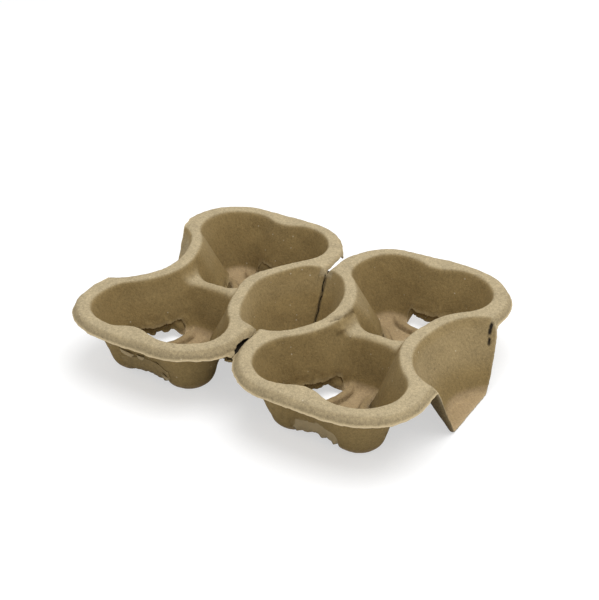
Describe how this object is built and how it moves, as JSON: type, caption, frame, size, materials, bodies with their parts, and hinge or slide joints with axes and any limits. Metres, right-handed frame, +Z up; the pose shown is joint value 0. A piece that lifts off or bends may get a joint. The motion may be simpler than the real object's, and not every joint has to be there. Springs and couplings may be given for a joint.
{
  "type": "cup carrier",
  "caption": "Moulded pulp drinks carrier with deep lobed cells for cups, a pocket between them, a rolled rim and a tear line down its middle.",
  "frame": {"origin": "middle of the footprint, on the plane that the cell floors stand on", "axes": "+X across the tear line towards the right half, +Y along the tear line towards the back, +Z up out of the cells"},
  "size_m": [0.229, 0.18, 0.0415],
  "materials": {
    "moulded_pulp": "matt, fibrous"
  },
  "bodies": {
    "root": {"cup_carrier": "moulded_pulp"}
  },
  "joints": []
}
